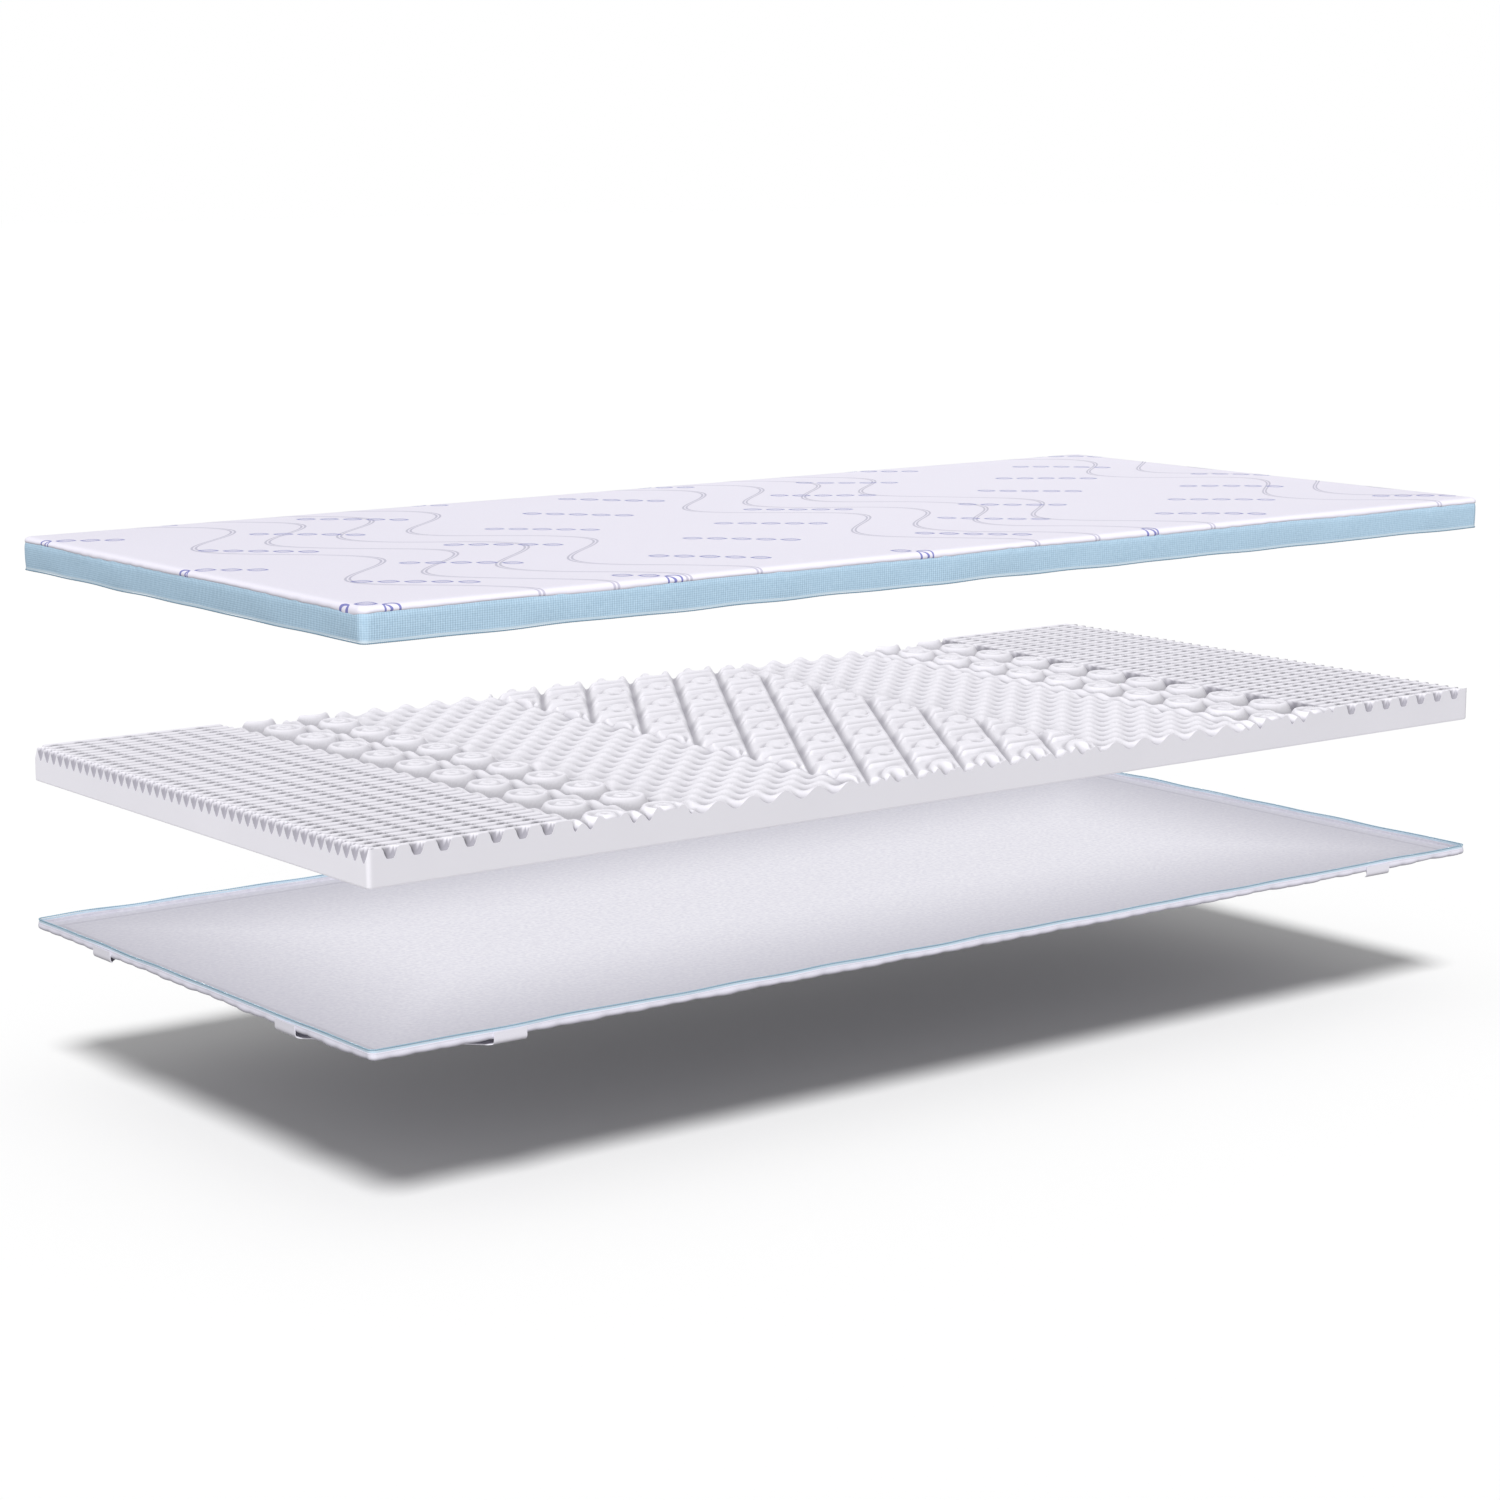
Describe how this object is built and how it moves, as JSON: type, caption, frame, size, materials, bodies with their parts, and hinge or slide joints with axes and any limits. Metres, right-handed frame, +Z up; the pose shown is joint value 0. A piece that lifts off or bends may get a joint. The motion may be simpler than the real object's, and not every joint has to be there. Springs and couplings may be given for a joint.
{
  "type": "memory foam mattress topper",
  "caption": "Zoned memory foam mattress topper in three layers: zip-on knitted cover with mesh border, profiled foam core and quilted base tray with elastic corner straps.",
  "frame": {"origin": "on the floor under the middle of the base tray, at the underside of the slack corner straps", "axes": "+X along the length, towards the right-hand short side; +Y across the width, towards the long side with the zip's start; +Z up through the layers"},
  "size_m": [2.013, 0.9152, 0.571],
  "materials": {
    "quilt": "matte quilted polyester",
    "wadding": "matte fibre",
    "fleece": "matte brushed fleece",
    "zip_tape": "matte woven tape",
    "zip_coil": "satin nylon coil",
    "zip_metal": "satin",
    "elastic": "matte woven elastic",
    "foam": "matte open-cell foam",
    "knit": "matte knit",
    "mesh_border": "matte ribbed spacer mesh"
  },
  "bodies": {
    "base": {"base_underside": "quilt", "base_wadding": "wadding", "base_lining": "fleece", "base_zip_tape": "zip_tape", "base_zip_coil": "zip_coil", "base_zip_stops": "zip_metal", "strap_front_left": "elastic", "strap_front_right": "elastic", "strap_back_left": "elastic", "strap_back_right": "elastic"},
    "slider": {"zip_slider": "zip_metal"},
    "pull": {"zip_pull": "zip_metal"},
    "core": {"foam_core": "foam"},
    "cover": {"cover_top_panel": "knit", "cover_border": "mesh_border", "cover_zip_tape": "zip_tape", "cover_zip_coil": "zip_coil", "cover_zip_stops": "zip_metal"}
  },
  "joints": [
    {"name": "core_lift", "type": "slide", "parent": "base", "child": "core", "axis": [0, 0, 1], "range_m": [-0.2085, 0]},
    {"name": "cover_lift", "type": "slide", "parent": "core", "child": "cover", "axis": [0, 0, 1], "range_m": [-0.2905, 0]},
    {"name": "zip_slider_run", "type": "slide", "parent": "base", "child": "slider", "axis": [-1, 0, 0], "range_m": [0, 1.86]},
    {"name": "pull_tab_hinge", "type": "hinge", "parent": "slider", "child": "pull", "pos_m": [0.882, 0.4566, 0.024], "axis": [0, 0, 1], "range_deg": [0, 165]}
  ]
}
